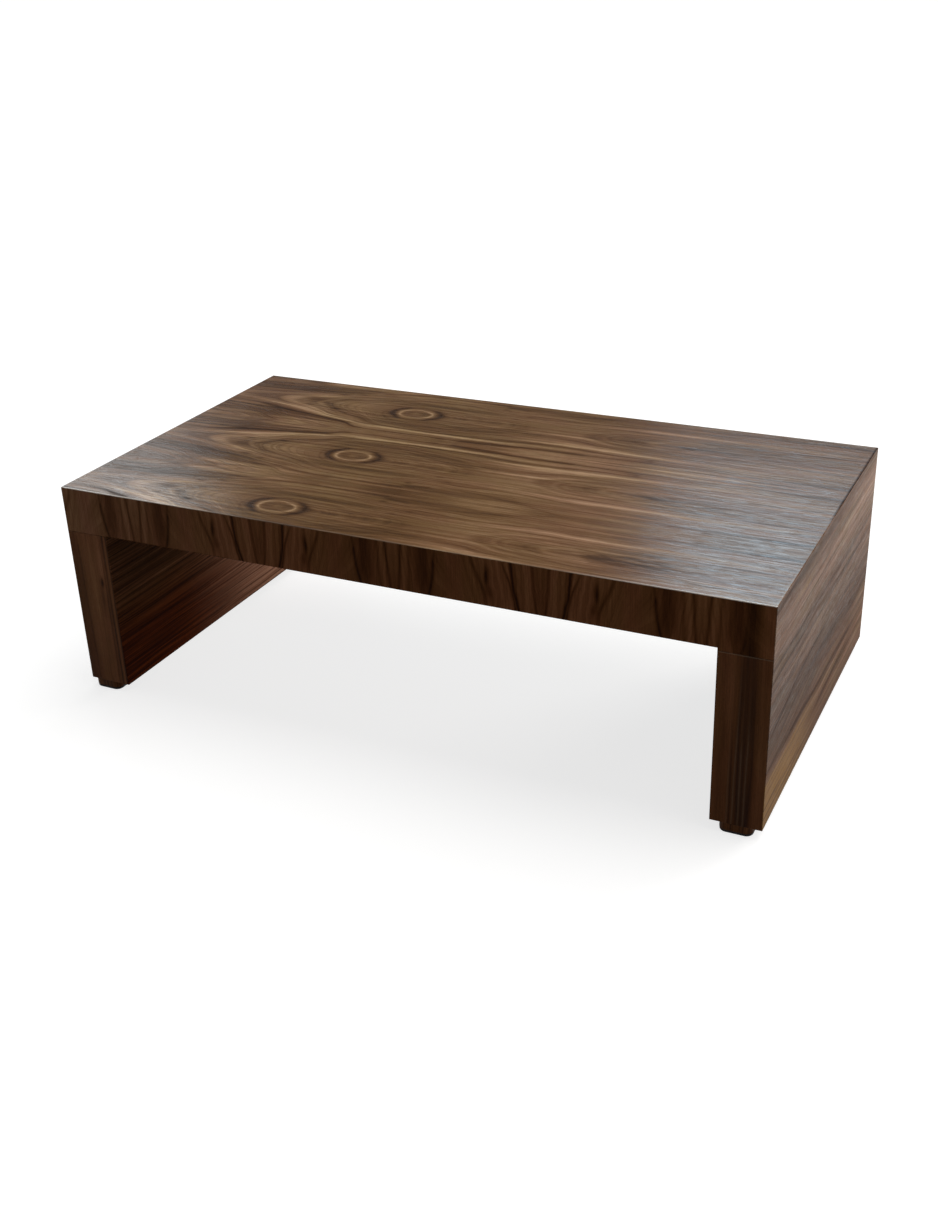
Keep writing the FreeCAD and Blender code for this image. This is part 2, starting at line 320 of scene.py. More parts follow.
def growth_lines(graph, lines, along, pitch, roughness=0.62, ink=0.30):
    """Bands, and thin dark lines drawn with ink, along the contours of the height called lines."""
    bands = graph.noise((lines / pitch, along / 700), detail=4.0, roughness=roughness)
    thin = graph.noise((lines / pitch * 1.7, along / 380, 7.7), detail=1.0).bell(0.5, 0.06)
    return (bands - 0.5) * 0.7 - thin * ink + ink * 0.2 + 0.5


def veneer(graph, wood, along, across, growth,
           dark=0.0, light=0.0, grey=0.0, sap=0.0, worn_and_highlit=0.0, pale=0.0):
    """Walnut veneer, with a clear coat where the wood has lacquer.

    along and across are millimetres with and across the grain, and growth is the figure from 0 to 1. dark,
    light, grey and pale are masks of streaks, some of them partly painted light, sap of sapwood, and the
    worn-edge mask of worn edges and of painted highlights along the arrises.
    """
    fibre = graph.noise((along / 60, across / 1.1), detail=3.0, roughness=0.62)
    strand = graph.noise((along / 260, across / 4.2, 4.4), detail=3.0, roughness=0.6)
    fleck = graph.noise((along / 13, across / 2.4, 8.3), detail=2.0, roughness=0.6)
    mottle = graph.noise((along / 190, across / 60, 3.1), detail=2.0)
    pores = graph.noise((along / 7, across / 0.35, 1.7), detail=1.0).step(0.60, 0.74)
    hue = graph.noise((along / 130, across / 26, 9.1), detail=2.0).step(0.36, 0.64)

    level = (growth - 0.5) * wood.contrast + (mottle - 0.5) * 0.30 + wood.tone
    level = level + (fibre - 0.5) * 0.30 + (strand - 0.5) * wood.strands + (fleck - 0.5) * 0.10
    level = level + light * (0.06 + strand * 0.26) - dark * (0.12 + strand * 0.56)
    colour = graph.ramp(level, WALNUT)
    tint = graph.mix(hue * wood.rose, OLIVE, ROSE)
    colour = graph.mix(TINT_STRENGTH, colour, tint, blend="MULTIPLY")
    colour = graph.mix(1.0, colour, wood.stain, blend="MULTIPLY")
    for mask, tone in ((sap, SAPWOOD), (worn_and_highlit, WORN_AND_HIGHLIT_EDGE), (pale, wood.pale)):
        if isinstance(mask, Field):
            colour = graph.mix(mask, colour, tone)
    if isinstance(grey, Field):
        colour = graph.mix(grey, colour, SMOKE, blend="MULTIPLY")
    colour = graph.mix(pores * 0.35, colour, PORE)
    roughness = (fleck - 0.5) * 0.25 + wood.roughness + pores * 0.16 - (level - wood.tone) * 0.12
    height = strand * 0.6 + fleck * 0.4 + fibre * 0.1 + growth * 0.3 - pores * 0.04
    shine = {"Specular_IOR_Level": wood.gloss}
    if wood.lacquer:
        # The coat thins out along the open grain and the dark streaks, and wrinkles a little
        open_grain = graph.noise((along / 110, across / 2.4, 12.0), detail=4.0, roughness=0.7)
        crumple = graph.noise((along / 30, across / 3.2 + fleck * 0.5, 15.0), detail=3.0, roughness=0.6)
        height = height + crumple * 0.5
        shine["Coat_Weight"] = (
            open_grain.step(0.36, 0.62, (0.46, 1.38)) * crumple.step(0.36, 0.64, (0.66, 1.32))
            * dark.step(0.0, 1.2, (1.0, 0.2)) * wood.lacquer
        )
        shine["Coat_Roughness"] = LACQUER_ROUGHNESS
    return graph.surface(colour, roughness, height, wood.relief, **shine)


def top_knot(graph, along, across):
    """The knot of a top leaf: the distance from its heart, and how much it adds to the figure."""
    from_knot = along - KNOT[0]
    beside = across - KNOT[1]
    warp = (graph.noise((along / 34, across / 26, 5.0), detail=1.0) - 0.5) * 8
    distance = ((from_knot / 1.57) ** 2 + beside ** 2 + 1.0).root() + warp
    ends = abs(from_knot).step(8, 30)
    ring = distance.bell(20.5, 2.2) * (ends * 0.12 + 0.30) + distance.bell(23.5, 3.0) * ends * 0.12
    heart = distance.bell(0.0, 5) * 0.10 - distance.bell(12, 7) * 0.10
    left = distance.bell(28.5, 4.2) * from_knot.step(-14, -36) * 0.40
    right = distance.bell(30.5, 5.2) * from_knot.step(16, 42) * 0.29
    arcs = distance.bell(32.5, 2.2) * (1 - ends * 0.5) * 0.26
    smudge = distance.bell(34, 7) * ends * 0.14
    return distance, ring + heart - left - right - arcs - smudge


def top_streaks(along, across):
    """The dark, light and grey streaks of one top leaf, from its first seam (0) to its second (242)."""
    dark = total([
        streak(
            along, across,
            [(0, 80), (60, 79), (100, 71), (150, 58), (200, 49), (250, 40), (290, 30), (325, 15), (400, 13),
             (500, 12), (600, 17), (680, 22), (765, 24), (1219, 26)],
            [(0, 3), (60, 3.6), (150, 3.6), (250, 3.4), (325, 3.2), (400, 3.2), (530, 3.4), (600, 4),
             (765, 4), (1219, 3)],
            [(0, 0.4), (60, 0.9), (150, 1.5), (290, 1.5), (325, 1.2), (345, 0.6), (475, 0.6), (490, 1.0),
             (512, 0.4), (540, 1.2), (700, 1.2), (762, 0.8), (780, 0.1), (880, 0.3), (1219, 0.15)],
        ),
        streak(along, across, [(0, 66), (110, 62), (200, 40), (1219, 40)], 2.5,
               [(0, 0.5), (110, 0.5), (150, 0.0), (1219, 0.0)]),
        streak(
            along, across,
            [(0, 60), (340, 40), (500, 38), (600, 42), (680, 47), (760, 45), (850, 38), (1000, 35),
             (1219, 30)],
            [(0, 3), (600, 4), (760, 5), (1219, 4)],
            [(0, 0.0), (380, 0.15), (560, 0.5), (1000, 0.5), (1080, 0.2), (1219, 0.2)],
        ),
        streak(along, across,
               [(0, 60), (460, 62), (560, 72), (680, 85), (770, 75), (900, 60), (1219, 52)], 3.5,
               [(0, 0.0), (460, 0.2), (600, 0.35), (800, 0.35), (900, 0.1), (1219, 0.1)]),
        streak(along, across,
               [(0, 60), (460, 75), (560, 93), (600, 103), (690, 112), (770, 100), (840, 88),
                (1219, 70)], 3,
               [(0, 0.0), (440, 0.1), (560, 0.3), (690, 0.35), (840, 0.25), (900, 0.0), (1219, 0.0)]),
        streak(along, across, [(0, 215), (290, 212), (340, 218), (400, 221), (540, 221), (1219, 221)],
               [(0, 5), (300, 5), (390, 5), (420, 2.2), (540, 2.2), (1219, 2)],
               [(0, 0.0), (270, 0.1), (330, 0.7), (400, 0.8), (535, 0.75), (548, 0.0), (1219, 0.0)]),
        streak(along, across, [(0, 221), (540, 212), (590, 207), (1219, 207)], 3.5,
               [(0, 0.0), (530, 0.0), (548, 0.6), (580, 0.45), (600, 0.0), (1219, 0.0)]),
        streak(along, across,
               [(0, 196), (600, 197), (650, 202), (700, 209), (750, 217), (800, 232), (850, 240),
                (1219, 242)], 3,
               [(0, 0.0), (580, 0.1), (640, 0.5), (800, 0.5), (870, 0.1), (1219, 0.0)]),
        streak(along, across, [(0, 170), (600, 173), (700, 177), (800, 185), (900, 194), (1219, 198)], 3,
               [(0, 0.0), (580, 0.05), (650, 0.3), (860, 0.35), (1000, 0.1), (1219, 0.1)]),
        streak(along, across,
               [(0, 125), (165, 130), (200, 117), (235, 99), (300, 69), (345, 45), (1219, 45)], 7,
               [(0, 0.0), (150, 0.1), (180, 0.35), (300, 0.3), (345, 0.15), (370, 0.0), (1219, 0.0)]),
        streak(along, across, [(0, 220), (120, 226), (240, 240), (1219, 242)], 3.5,
               [(0, 0.4), (230, 0.35), (270, 0.0), (1219, 0.0)]),
        streak(along, across, [(0, 30), (100, 27), (300, 6), (1219, 6)], 4.5,
               [(0, 0.2), (290, 0.3), (330, 0.0), (1219, 0.0)]),
        streak(along, across, [(0, 48), (100, 44), (300, 18), (1219, 6)], 4,
               [(0, 0.1), (150, 0.2), (290, 0.3), (320, 0.0), (1219, 0.0)]),
        spot(along, across, (515, LEAF_WIDTH), (85, 7), 0.6),
        spot(along, across, (165, 133), (26, 12), 0.5),
    ])
    pins = [
        ((168, 101), (9, 4), 0.9), ((232, 95), (9, 4.5), 1.0), ((205, 174), (11, 3.5), 0.8),
        ((242, 184), (9, 3.5), 0.6), ((291, 204), (15, 6), 0.7), ((540, 199), (6, 3), 0.8),
        ((578, 156), (8, 3), 0.5), ((485, 121), (13, 4), 0.5), ((585, 124), (6, 2.5), 0.5),
        ((1058, 222), (8, 3), 0.6), ((600, 175), (8, 4), 0.4), ((880, 36), (6, 7), 0.4),
    ]
    dark = dark + total(spot(along, across, centre, radii, force) for centre, radii, force in pins)
    light = total([
        streak(along, across, [(0, 2), (1219, 2)], 4,
               [(0, 0.5), (60, 1.0), (110, 0.8), (150, 0.0), (600, 0.0), (680, 0.6), (820, 0.6),
                (1219, 0.0)]),
        streak(
            along, across,
            [(0, 100), (100, 90), (200, 65), (290, 43), (335, 30), (500, 30), (600, 33), (700, 36),
             (880, 34), (1219, 33)],
            [(0, 7), (200, 7), (340, 5), (500, 5), (1219, 6)],
            [(0, 0.3), (120, 0.6), (300, 1.0), (700, 1.0), (860, 0.7), (874, 0.1), (895, 0.6), (980, 0.5),
             (1000, 0.1), (1030, 0.4), (1219, 0.2)],
        ),
        streak(along, across,
               [(0, 45), (480, 44), (560, 48), (640, 56), (700, 58), (830, 55), (940, 52), (1219, 46)], 5,
               [(0, 0.0), (440, 0.1), (560, 0.5), (640, 0.8), (800, 0.7), (900, 0.5), (1100, 0.3),
                (1219, 0.2)]),
        streak(along, across, [(0, 82), (560, 82), (620, 93), (690, 103), (770, 90), (1219, 80)], 7,
               [(0, 0.0), (560, 0.1), (620, 0.6), (760, 0.6), (830, 0.0), (1219, 0.0)]),
        streak(along, across,
               [(0, 150), (60, 157), (150, 164), (200, 180), (290, 200), (340, 207), (430, 213), (540, 214),
                (1219, 214)],
               [(0, 5), (200, 4), (340, 4.5), (420, 3), (1219, 3)],
               [(0, 0.3), (100, 0.6), (220, 0.4), (310, 1.0), (530, 0.8), (555, 0.0), (1219, 0.0)]),
        streak(along, across, [(0, 228), (1219, 228)], 2,
               [(0, 0.0), (400, 0.1), (440, 0.7), (560, 0.6), (640, 0.0), (1219, 0.0)]),
        streak(along, across, [(0, 180), (830, 178), (930, 183), (1050, 182), (1219, 186)], 7,
               [(0, 0.0), (800, 0.0), (860, 0.5), (1040, 0.4), (1120, 0.1), (1219, 0.1)]),
        spot(along, across, (110, 128), (32, 14), 0.5),
        spot(along, across, (207, 128), (16, 14), 0.5),
    ])
    grey = streak(
        along, across,
        [(0, 170), (60, 170), (120, 180), (180, 189), (230, 199), (300, 214), (1219, 214)],
        [(0, 12), (120, 11), (200, 9), (260, 6), (1219, 4)],
        [(0, 0.5), (60, 0.8), (180, 0.8), (260, 0.6), (310, 0.0), (1219, 0.0)],
    )
    return dark + grey * 0.6, light, grey


def top_painted_light(graph, along):
    """Painted light on the top: how much lighter it is painted, place by place, where the windows' sheen
    falls near its ends (less at the back on the right), less a painted shade in a spot at the front middle.
    """
    left = along.curve([
        (0, 0.03), (120, 0.05), (220, 0.11), (320, 0.08), (420, 0.02), (560, 0.01), (1219, 0.01),
    ])
    right = along.curve([(0, 0.0), (580, 0.0), (760, 0.14), (950, 0.12), (1100, 0.05), (1219, 0.03)])
    shade = spot(along, graph.y, (600, -250), (140, 110), 0.06)
    return left + right * graph.y.step(60, 280, (1.0, 0.25)) - shade


def top_edges(graph, along):
    """The dark line by the top's right edge, and the arrises: worn in patches at the back, and with a
    painted highlight at the front and right, brightest near the ends.
    """
    front_arris = (HALF_DEPTH + graph.y).step(4.6, 1.2)
    back_arris = (HALF_DEPTH - graph.y).step(2.4, 0.4)
    right_arris = (LENGTH - along).step(5.0, 1.5)
    # Painted highlight: the front arris is lightest near the ends, where the windows' sheen falls
    worn_and_highlit = front_arris * along.curve([
        (0, 0.9), (120, 0.8), (260, 0.35), (400, 0.08), (850, 0.08), (950, 0.3), (1100, 0.7), (1219, 0.9),
    ])
    worn_and_highlit = worn_and_highlit + back_arris * graph.noise((along / 25, 2.0)).step(0.3, 0.7) * 0.25
    # Painted highlight on the right arris, towards the front
    worn_and_highlit = worn_and_highlit + right_arris * graph.y.step(-150, -300) * 0.15
    return right_arris * graph.y.step(-60, 60) * 1.1, worn_and_highlit


def top_veneer():
    """The top: one leaf's figure, mirrored at each seam."""
    graph = material_graph("walnut_top")
    along = graph.x + HALF_LENGTH
    unfolded = TOP_SEAM - graph.y
    leaf = (unfolded / LEAF_WIDTH).floor()
    across = unfolded.fold(LEAF_WIDTH)

    # Each leaf is a different slice, so its lines wander a little from the last one's
    drift = (graph.noise((along / 150, across / 55, leaf * 0.2), detail=2.0) - 0.5) * 20
    ripple = (graph.noise((along / 30, across / 8, leaf * 0.3), detail=2.0) - 0.5) * 5
    bent = across + drift * 0.5 + ripple * 0.6
    steady = across + drift * 0.22 + ripple

    # The crown of the figure: Vs that close on the knot from the left, arches to its right, then an eye
    crown = (along + drift * 1.6).curve([
        (0, 8), (100, 10), (200, 16), (230, 21), (300, 34), (330, 55), (345, 67), (389, 90), (430, 100),
        (500, 84), (560, 69), (680, 53), (800, 70), (900, 82), (1219, 91),
    ])
    profile = bent.curve([
        (-20, -0.39), (0, -0.19), (19, 0.0), (60, 0.41), (95, 0.74), (110, 0.86), (119, 0.88), (130, 0.86),
        (150, 0.70), (170, 0.42), (190, 0.19), (215, 0.04), (242, -0.10), (262, -0.2),
    ])
    lines = crown * profile
    plain = spot(along, across, (600, 135), (150, 50))
    calm = plain * 0.5 + spot(along, across, (372, 119), (85, 42), 0.8)
    calm = calm + spot(along, across, (262, 112), (48, 30), 0.5)
    plies = graph.noise(((along * 0.8 + across) / 5.5, along / 300, leaf + 11), detail=2.0)
    fan = spot(along, across, (310, 98), (34, 34))
    distance, knot = top_knot(graph, along, across)
    lines = lines + distance.bell(0.0, 34) * 16
    bands = lines.curve([
        (-30, 0.5), (-10, 0.5), (-3, 0.64), (1, 0.52), (5, 0.36), (10, 0.72), (16, 0.30), (20, 0.56),
        (24, 0.64), (28, 0.44), (32, 0.54), (35, 0.60), (39, 0.36), (43, 0.60), (49, 0.36), (54, 0.55),
        (60, 0.50), (120, 0.5),
    ]) - 0.5

    # The fibres fan out from the left edge to the seams, and then run level
    spread = along.curve([
        (0, 2.0), (60, 1.85), (150, 1.3), (200, 1.12), (250, 0.98), (290, 0.9), (330, 0.8), (1219, 0.8),
    ])
    flow = (bent - KNOT[1]) * spread

    # The growth lines lie closer together in the Vs than they do around the knot and beyond it
    close = growth_lines(graph, lines, along, 3.6)
    wide = growth_lines(graph, lines, along, 11.0, ink=0.14)
    blend = along.step(230, 390)
    growth = close * (1 - blend) + wide * blend
    stripes = graph.noise((steady / 3.4, along / 900, leaf * 0.2 + 21), detail=3.0, roughness=0.6)
    growth = (growth - 0.5) * (1 - calm) + 0.5 + knot
    growth = growth + (stripes - 0.5) * steady.step(75, 20) * along.step(300, 420) * 0.7
    dark, light, grey = top_streaks(along, steady)
    eye = spot(along, bent, (975, 124), (140, 26))
    smoke = graph.noise((along / 60, across / 9, leaf * 0.4 + 6), detail=3.0).step(0.46, 0.62)
    dark = dark * along.step(560, 800, (0.8, 0.7)) + eye * smoke * 0.6
    bands = bands * (0.9 - plain * 0.8) * (1 - fan * 0.6) * along.step(520, 760, (1.0, 0.35))
    light = light * along.step(760, 900, (1.1, 0.7)) + bands
    light = light + fan * (plies - 0.5) * 1.6
    light = light * (1 - unfolded.step(LEAF_WIDTH * 0.7, LEAF_WIDTH * 1.1) * along.step(420, 560) * 0.8)
    grey = grey * 0.4 + eye * (smoke * 0.5 + 0.1)
    edge_dark, worn_and_highlit = top_edges(graph, along)
    rosy = along.curve([
        (0, 1.0), (150, 0.7), (280, 0.15), (450, 0.05), (560, 0.2), (680, 0.5), (850, 0.8), (1219, 0.9),
    ])
    # Painted light: the top's tone is lifted where the windows' sheen falls near its ends
    wood = Wood(tone=0.585 + top_painted_light(graph, along), strands=0.75, gloss=0.04, roughness=0.35, relief=0.22,
                rose=0.7, stain=graph.mix(rosy, GOLD_BROWN, ROSE_BROWN), lacquer=0.75)
    return veneer(graph, wood, along, flow, growth, dark + edge_dark, light, grey, worn_and_highlit=worn_and_highlit)


def apron_veneer(name, first_seam):
    """An apron: upright leaves, mirrored at each seam, with a V and a pin beside every other one."""
    graph = material_graph(name)
    along = HEIGHT - graph.z
    unfolded = graph.x - first_seam
    leaf = (unfolded / LEAF_WIDTH).floor()
    across = LEAF_WIDTH - unfolded.fold(LEAF_WIDTH)
    drift = (graph.noise((along / 50, across / 30, leaf * 0.15), detail=2.0) - 0.5) * 14
    bent = across + drift
    steady = across + drift * 0.35
    dark = total([
        streak(along, steady, [(0, 14), (78, 7)], 2.2, 0.6),
        streak(along, steady, [(0, 48), (38, 44), (78, 34)], 2.4, 1.4),
        streak(along, steady, [(0, 62), (35, 49), (78, 39)], 1.8, [(0, 0.3), (40, 0.9), (78, 0.8)]),
        streak(along, steady, [(0, 113), (30, 102), (56, 92), (78, 88)], 3,
               [(0, 0.3), (30, 0.7), (60, 0.5), (78, 0.2)]),
        streak(along, steady, [(0, 172), (26, 175), (50, 177), (78, 183)], 2.2,
               [(0, 0.2), (16, 0.6), (26, 1.2), (78, 1.0)]),
        streak(along, steady, [(0, 214), (78, 217)], 3, 0.5),
        streak(along, steady, [(0, 229), (78, 234)], 2.2, 0.8),
        streak(along, steady, [(0, 190), (78, 195)], 11, [(0, 0.9), (40, 0.9), (78, 0.5)]),
        spot(along, steady, (29, 87), (15, 3.4), 1.5),
        spot(along, steady, (55, 83), (10, 5), 0.6),
    ])
    light = total([
        streak(along, steady, [(0, 54), (38, 47), (78, 36.5)], 1.4, [(0, 0.3), (40, 1.0), (78, 1.0)]),
        streak(along, steady, [(0, 70), (78, 56)], 5, [(0, 0.9), (30, 0.6), (78, 0.7)]),
        streak(along, steady, [(0, 188), (78, 200)], 3.5, [(0, 0.0), (40, 0.6), (78, 0.8)]),
        streak(along, steady, [(0, 222), (78, 226)], 3.5, 0.6),
        streak(along, steady, [(0, 24), (78, 20)], 4, 0.5),
    ])
    lines = bent + spot(along, bent, (100, 140), (70, 34), 40) + along * 0.1
    growth = growth_lines(graph, lines, along, 15.0, roughness=0.5, ink=0.14)
    growth = (growth - 0.5) * (1 - across.bell(143, 30) * 0.75) + 0.5
    # Painted light: the apron is painted lighter towards its ends, most at the left
    painted_end_light = graph.x.curve([(-HALF_LENGTH, 0.12), (-300, 0.04), (100, 0.0), (HALF_LENGTH, 0.07)])
    stain = graph.mix(graph.x.step(-100, -550), RED_BROWN, PLUM_BROWN)
    # Painted shade: the back apron is painted darker and a greyer rose, against the lamps' light
    back = graph.y.step(0, 100)
    wood = Wood(tone=0.565 + painted_end_light - back * BACK_SHADE, contrast=0.68, strands=0.16, gloss=0.03,
                roughness=0.52, rose=0.9, stain=graph.mix(back, stain, DUSTY_ROSE))
    # Painted highlight: a pale line along the top arris, brightest towards the ends
    worn_and_highlit = (HEIGHT - graph.z).step(1.1, 0.2) * graph.x.curve([
        (-HALF_LENGTH, 0.6), (-500, 0.5), (-380, 0.15), (250, 0.1), (420, 0.35), (HALF_LENGTH, 0.5),
    ])
    smoky = graph.x.bell(HALF_LENGTH - 33, 12)
    dark = dark * (1 - smoky) + smoky * 1.1
    # Painted light: paler towards the left end
    light = light + graph.x.step(-200, -HALF_LENGTH) * 0.4
    return veneer(graph, wood, along, across, growth, dark, light, smoky * 0.5, worn_and_highlit=worn_and_highlit)


def leg_edge_veneer(name, side, figure, shine, tone):
    """The upright veneer on an end slab's front or back edge, from its outer face (0) inwards.

    side is 1 on the right slab and -1 on the left. shine is the glint along the groove above.
    """
    graph = material_graph(name)
    along = HEIGHT - graph.z
    across = HALF_LENGTH - graph.x * side
    drift = (graph.noise((along / 90, across / 22), detail=2.0) - 0.5) * 7
    bent = across + drift
    dark, light, grey, pale = figure(along, across + drift * 0.3)
    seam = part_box(name)[1][2] * MM
    # Painted highlight: a pale glint just below the seam's groove
    glint = (seam - graph.z).bell(1.0, 0.9) * shine
    growth = growth_lines(graph, bent, along, 16.0, roughness=0.5, ink=0.08)
    # Painted shade: the back edges are painted darker and a greyer rose, against the lamps' light
    back = graph.y.step(0, 100)
    wood = Wood(tone=tone - back * BACK_SHADE, contrast=0.5, strands=0.10, roughness=0.52, rose=0.8,
                stain=graph.mix(back, RED_BROWN, DUSTY_ROSE))
    return veneer(graph, wood, along, across, growth, dark, light, grey, pale=pale * 0.4 + glint)


def left_leg_figure(along, across):
    """Plain brown, with dark straight lines and one pin near the inner corner."""
    dark = total([
        streak(along, across, [(78, 70.5), (381, 69)], 1.3,
               [(78, 1.4), (180, 0.8), (230, 1.0), (381, 0.9)]),
        streak(along, across, [(78, 79), (381, 78)], 1.6, [(78, 1.4), (200, 1.0), (381, 1.3)]),
        streak(along, across, [(78, 65), (381, 62)], 1.2, [(78, 0.2), (240, 0.6), (381, 0.5)]),
        streak(along, across, [(78, 17), (381, 19)], 1.8, [(78, 0.0), (180, 0.5), (381, 0.5)]),
        streak(along, across, [(78, 4), (381, 6)], 9, [(78, 0.1), (180, 0.4), (381, 0.7)]),
        spot(along, across, (168, 57), (8, 3), 1.5),
        spot(along, across, (195, 54), (30, 4), 0.6),
    ])
    light = total([
        streak(along, across, [(78, 74.5), (381, 74)], 1.6, [(78, 0.6), (150, 0.4), (381, 0.6)]),
        streak(along, across, [(78, 62), (381, 58)], 4, [(78, 0.2), (150, 0.7), (200, 0.2), (381, 0.3)]),
        streak(along, across, [(78, 34), (381, 40)], 16, [(78, 0.3), (381, 0.5)]),
    ])
    return dark, light, 0.0, 0.0


def right_leg_figure(along, across):
    """A dark smoky band down the middle, with fine pale lines through it lower down."""
    dark = total([
        streak(along, across, [(0, 30), (78, 31), (180, 31), (381, 27)], 11,
               [(0, 0.9), (200, 0.65), (381, 0.5)]),
        streak(along, across, [(78, 41), (160, 42), (381, 41)], 2.4, [(78, 0.3), (160, 0.8), (381, 0.9)]),
        streak(along, across, [(78, 34), (381, 34)], 1.8, [(78, 0.0), (180, 0.5), (381, 0.8)]),
        streak(along, across, [(78, 20), (160, 24), (260, 22), (381, 26)], 2.6,
               [(78, 0.0), (180, 0.5), (381, 0.8)]),
        streak(along, across, [(78, 52), (381, 51)], 1.6, [(78, 0.0), (200, 0.3), (260, 0.8), (381, 0.9)]),
    ])
    light = streak(along, across, [(78, 12), (381, 13)], 5, [(78, 0.6), (381, 0.4)])
    pale = total([
        streak(along, across, [(78, 43.7), (200, 44.5), (260, 46), (381, 47)], 0.9,
               [(78, 0.05), (160, 0.2), (260, 0.45), (381, 0.5)]),
        streak(along, across, [(78, 38), (381, 38)], 0.9, [(78, 0.0), (210, 0.1), (260, 0.5), (381, 0.4)]),
        streak(along, across, [(78, 28), (381, 30.5)], 1.0,
               [(78, 0.0), (180, 0.1), (230, 0.4), (381, 0.5)]),
        streak(along, across, [(78, 53.5), (381, 55)], 0.8,
               [(78, 0.0), (220, 0.1), (300, 0.35), (381, 0.35)]),
    ])
    grey = streak(along, across, [(78, 30), (381, 30)], 11, [(78, 0.6), (180, 0.5), (300, 0.2), (381, 0.2)])
    return dark, light, grey, pale


def end_veneer(name, offset):
    """An end slab's outer face: level grain, a faint cathedral, and sapwood low down at the front."""
    graph = material_graph(name)
    along = graph.y + HALF_DEPTH
    across = HEIGHT - graph.z
    drift = (graph.noise((along / 190, across / 40, offset), detail=2.0) - 0.5) * 16
    bent = across + drift
    steady = across + drift * 0.5
    dark = total([
        streak(along, steady, [(0, 10), (330, 12), (660, 4)], 6, [(0, 0.5), (250, 0.35), (660, 0.2)]),
        streak(along, steady, [(0, 121), (330, 128), (660, 146)], 3.5, [(0, 0.5), (400, 0.4), (660, 0.1)]),
        streak(along, steady, [(0, 100), (330, 112), (660, 118)], 5, [(0, 0.4), (330, 0.3), (660, 0.1)]),
        streak(along, steady, [(0, 216), (110, 196), (200, 186), (290, 183), (380, 190), (660, 200)], 4,
               [(0, 0.1), (100, 0.4), (300, 0.35), (360, 0.0), (660, 0.0)]),
        streak(along, steady, [(0, 240), (390, 232), (480, 245), (560, 244), (660, 234)], 5,
               [(0, 0.0), (370, 0.05), (450, 0.3), (560, 0.3), (660, 0.2)]),
        streak(along, steady, [(0, 268), (200, 272), (300, 279), (480, 285), (660, 300)], 4.5,
               [(0, 0.3), (280, 0.6), (480, 0.6), (560, 0.1), (660, 0.0)]),
        streak(along, steady, [(0, 325), (330, 316), (500, 308), (660, 300)], 6,
               [(0, 0.0), (240, 0.1), (400, 0.6), (500, 0.5), (660, 0.2)]),
        across.bell(215, 60) * 0.35,
    ])
    light = total([
        streak(along, steady, [(0, 55), (330, 58), (660, 60)], 26, [(0, 0.8), (330, 1.1), (660, 1.4)]),
        streak(along, steady, [(0, 284), (150, 288), (330, 296), (500, 300), (660, 310)], 4.5,
               [(0, 0.6), (150, 0.8), (480, 0.8), (560, 0.3), (660, 0.2)]),
        streak(along, steady, [(0, 232), (330, 240), (660, 258)], 5,
               [(0, 0.2), (560, 0.2), (600, 0.7), (660, 0.5)]),
    ])
    sap = steady.step(277, 290) * along.step(370, 90) * (
        graph.noise((along / 220, steady / 6, offset + 31), detail=3.0).step(0.38, 0.56, (0.35, 1.0))
    )
    # Darker low down, most towards the front
    dark = dark + spot(along, across, (0, 380), (330, 50), 0.5)
    lines = bent + spot(along, bent, (300, 225), (230, 36), 34)
    growth = growth_lines(graph, lines, along, 12.0, roughness=0.5, ink=0.14)
    wood = Wood(tone=along.step(250, 600, (0.535, 0.595)), contrast=0.7, strands=0.45, gloss=0.01, rose=1.6,
                stain=DUSTY_ROSE, lacquer=across.step(170, 320, (0.17, 0.04)))
    return veneer(graph, wood, along, across, growth, dark, light, sap=sap)


def straight_veneer(name, along_axis, across_axis, tone, offset, stain, painted_light_share=0.0):
    """Straight, finely striped veneer for the faces inside and beneath.

    Its last argument, from 0 to 1, brings in painted light and shade: a deeper red painted shade low down,
    a lighter plum painted higher up, and painted daylight, paler towards the back.
    """
    graph = material_graph(name)
    along = getattr(graph, along_axis)
    across = getattr(graph, across_axis)
    drift = (graph.noise((along / 300, across / 60, offset), detail=1.0) - 0.5) * 12
    stripes = graph.noise(((across + drift) / 4, along / 500, offset + 2.0), detail=4.0, roughness=0.62)
    dark = stripes.step(0.50, 0.68) * 0.7
    light = stripes.step(0.48, 0.32) * 0.6
    growth = growth_lines(graph, across + drift, along, 8.0)
    # Painted light and shade: higher up the face is painted lighter and plum, and low down a deeper red
    # shade
    high = graph.z.step(90, 205) * painted_light_share
    low_painted_shade_stain = graph.mix(graph.z.step(230, 70) * painted_light_share, stain, OXBLOOD_SHADE)
    wood = Wood(tone=high * 0.2 + tone, contrast=0.7, strands=0.35, gloss=0.01, rose=0.6,
                stain=graph.mix(high, low_painted_shade_stain, PLUM_BROWN), pale=PAINTED_DAYLIGHT_ROSE)
    # Painted daylight: pale rose stripes that grow towards the back
    pale = graph.y.step(-170, 260) * stripes.step(0.6, 0.4, (0.3, 1.15)) * painted_light_share
    return veneer(graph, wood, along, across, growth, dark, light, pale=pale)


def foot_walnut():
    """Solid walnut, upright like the grain of the edge above it."""
    graph = material_graph("walnut_feet")
    drift = (graph.noise((graph.x / 30, graph.y / 30, graph.z / 60), detail=2.0) - 0.5) * 6
    across = graph.x + graph.y * 0.6 + drift
    growth = growth_lines(graph, across, graph.z, 7.0)
    wood = Wood(tone=0.40, strands=0.3)
    # Darker towards the bottom
    return veneer(graph, wood, graph.z, across, growth, dark=graph.z.step(6.0, 1.0) * 0.4)


